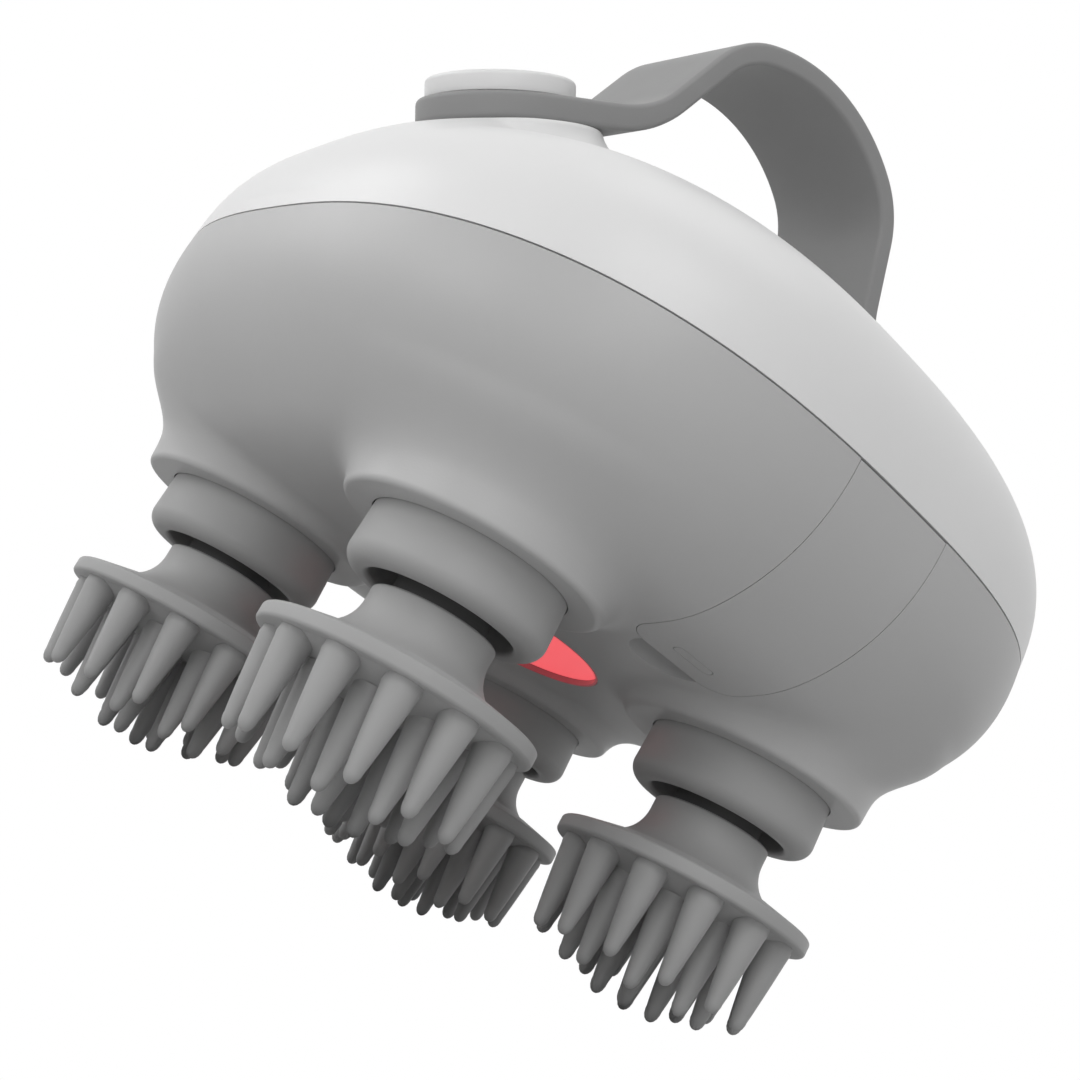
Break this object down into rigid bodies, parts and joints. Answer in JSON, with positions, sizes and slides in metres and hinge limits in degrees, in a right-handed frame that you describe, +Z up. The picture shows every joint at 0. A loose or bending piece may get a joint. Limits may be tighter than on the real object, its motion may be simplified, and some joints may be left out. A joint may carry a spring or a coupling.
{
  "type": "electric scalp massager",
  "caption": "Domed hand-held massager with a finger strap, a round power button and spinning soft heads of pointed nodules driven by a geared motor around a red light lens.",
  "frame": {"origin": "on the surface that the nodule tips stand on, below the middle of the body", "axes": "+Z up through the dome; -X is the power button's side, -Y is the charging door's side"},
  "size_m": [0.1044, 0.1056, 0.1138],
  "materials": {
    "dome_white": "satin",
    "shell_grey": "fine satin",
    "gasket_grey": "matt",
    "window_grey": "satin",
    "socket_steel": "satin",
    "board_green": "satin",
    "lens_red": "clear gloss",
    "led_white": "gloss",
    "frame_black": "matt",
    "pin_steel": "polished",
    "gear_white": "matt",
    "pinion_brass": "machined",
    "motor_can": "satin",
    "screw_steel": "satin",
    "cell_wrap": "gloss",
    "switch_black": "matt",
    "button_white": "satin",
    "strap_grey": "soft matt",
    "collar_grey": "soft matt",
    "seal_black": "matt",
    "shaft_black": "satin",
    "head_grey": "soft matt"
  },
  "bodies": {
    "housing": {"top_cover": "dome_white", "lower_shell": "shell_grey", "seam_gasket": "gasket_grey", "charging_socket": "socket_steel", "charging_board": "board_green", "led_lens": "lens_red", "led_board": "board_green", "led_chips": "led_white", "gear_tray": "frame_black", "gear_cover": "frame_black", "gear_pins": "pin_steel", "motor": "motor_can", "motor_bracket": "frame_black", "bracket_screws": "screw_steel", "gearbox_screws": "screw_steel", "board_screws": "screw_steel", "battery": "cell_wrap", "battery_cradle": "frame_black", "control_board": "board_green", "tact_switch": "switch_black", "button_guide": "dome_white", "hand_strap": "strap_grey", "strap_stud": "button_white", "stud_nut": "frame_black", "collar_front_left": "collar_grey", "shaft_seal_front_left": "seal_black", "shaft_bush_front_left": "frame_black", "collar_back_left": "collar_grey", "shaft_seal_back_left": "seal_black", "shaft_bush_back_left": "frame_black", "collar_front_right": "collar_grey", "shaft_seal_front_right": "seal_black", "shaft_bush_front_right": "frame_black", "collar_back_right": "collar_grey", "shaft_seal_back_right": "seal_black", "shaft_bush_back_right": "frame_black"},
    "power_button": {"power_button": "button_white"},
    "charging_door": {"port_cover": "shell_grey", "charge_window": "window_grey"},
    "drive_wheel_left": {"drive_gear_left": "gear_white"},
    "drive_wheel_right": {"drive_gear_right": "gear_white"},
    "reduction_wheel": {"reduction_gear": "gear_white"},
    "motor_rotor": {"motor_pinion": "pinion_brass"},
    "head_front_left": {"massage_head_front_left": "head_grey", "head_core_front_left": "frame_black", "drive_shaft_front_left": "shaft_black", "head_gear_front_left": "gear_white"},
    "head_back_left": {"massage_head_back_left": "head_grey", "head_core_back_left": "frame_black", "drive_shaft_back_left": "shaft_black", "head_gear_back_left": "gear_white"},
    "head_front_right": {"massage_head_front_right": "head_grey", "head_core_front_right": "frame_black", "drive_shaft_front_right": "shaft_black", "head_gear_front_right": "gear_white"},
    "head_back_right": {"massage_head_back_right": "head_grey", "head_core_back_right": "frame_black", "drive_shaft_back_right": "shaft_black", "head_gear_back_right": "gear_white"}
  },
  "joints": [
    {"name": "head_front_left_spin", "type": "hinge", "parent": "housing", "child": "head_front_left", "pos_m": [-0.02327, -0.0238, 0.035], "axis": [0, 0, 1], "continuous": true},
    {"name": "head_back_left_spin", "type": "hinge", "parent": "housing", "child": "head_back_left", "pos_m": [-0.02327, 0.0238, 0.035], "axis": [0, 0, 1], "continuous": true},
    {"name": "head_front_right_spin", "type": "hinge", "parent": "housing", "child": "head_front_right", "pos_m": [0.02327, -0.0238, 0.035], "axis": [0, 0, 1], "continuous": true},
    {"name": "head_back_right_spin", "type": "hinge", "parent": "housing", "child": "head_back_right", "pos_m": [0.02327, 0.0238, 0.035], "axis": [0, 0, 1], "continuous": true},
    {"name": "drive_wheel_left_spin", "type": "hinge", "parent": "housing", "child": "drive_wheel_left", "pos_m": [-0.0128, 0, 0.042], "axis": [0, 0, 1], "continuous": true},
    {"name": "drive_wheel_right_spin", "type": "hinge", "parent": "housing", "child": "drive_wheel_right", "pos_m": [0.0128, 0, 0.042], "axis": [0, 0, 1], "continuous": true},
    {"name": "reduction_wheel_spin", "type": "hinge", "parent": "housing", "child": "reduction_wheel", "pos_m": [-0.004, 0.01524, 0.044], "axis": [0, 0, 1], "continuous": true},
    {"name": "motor_spin", "type": "hinge", "parent": "housing", "child": "motor_rotor", "pos_m": [0.00683, 0.00899, 0.05], "axis": [0, 0, 1], "continuous": true},
    {"name": "power_button_press", "type": "slide", "parent": "housing", "child": "power_button", "axis": [0.565, 0, -0.8251], "range_m": [0, 0.0005], "stiffness_N_per_m": 2000, "springref_m": -0.0005},
    {"name": "charging_door_hinge", "type": "hinge", "parent": "housing", "child": "charging_door", "pos_m": [0, -0.0528, 0.05443], "axis": [-1, 0, 0], "range_deg": [0, 80]}
  ],
  "couplings": [
    {"joint": "head_back_left_spin", "follows": "head_front_left_spin", "ratio": 1},
    {"joint": "head_front_right_spin", "follows": "head_front_left_spin", "ratio": -1},
    {"joint": "head_back_right_spin", "follows": "head_front_left_spin", "ratio": -1},
    {"joint": "drive_wheel_left_spin", "follows": "head_front_left_spin", "ratio": -1.0312},
    {"joint": "drive_wheel_right_spin", "follows": "head_front_left_spin", "ratio": 1.0312},
    {"joint": "reduction_wheel_spin", "follows": "head_front_left_spin", "ratio": 2.75},
    {"joint": "motor_spin", "follows": "head_front_left_spin", "ratio": -11}
  ]
}
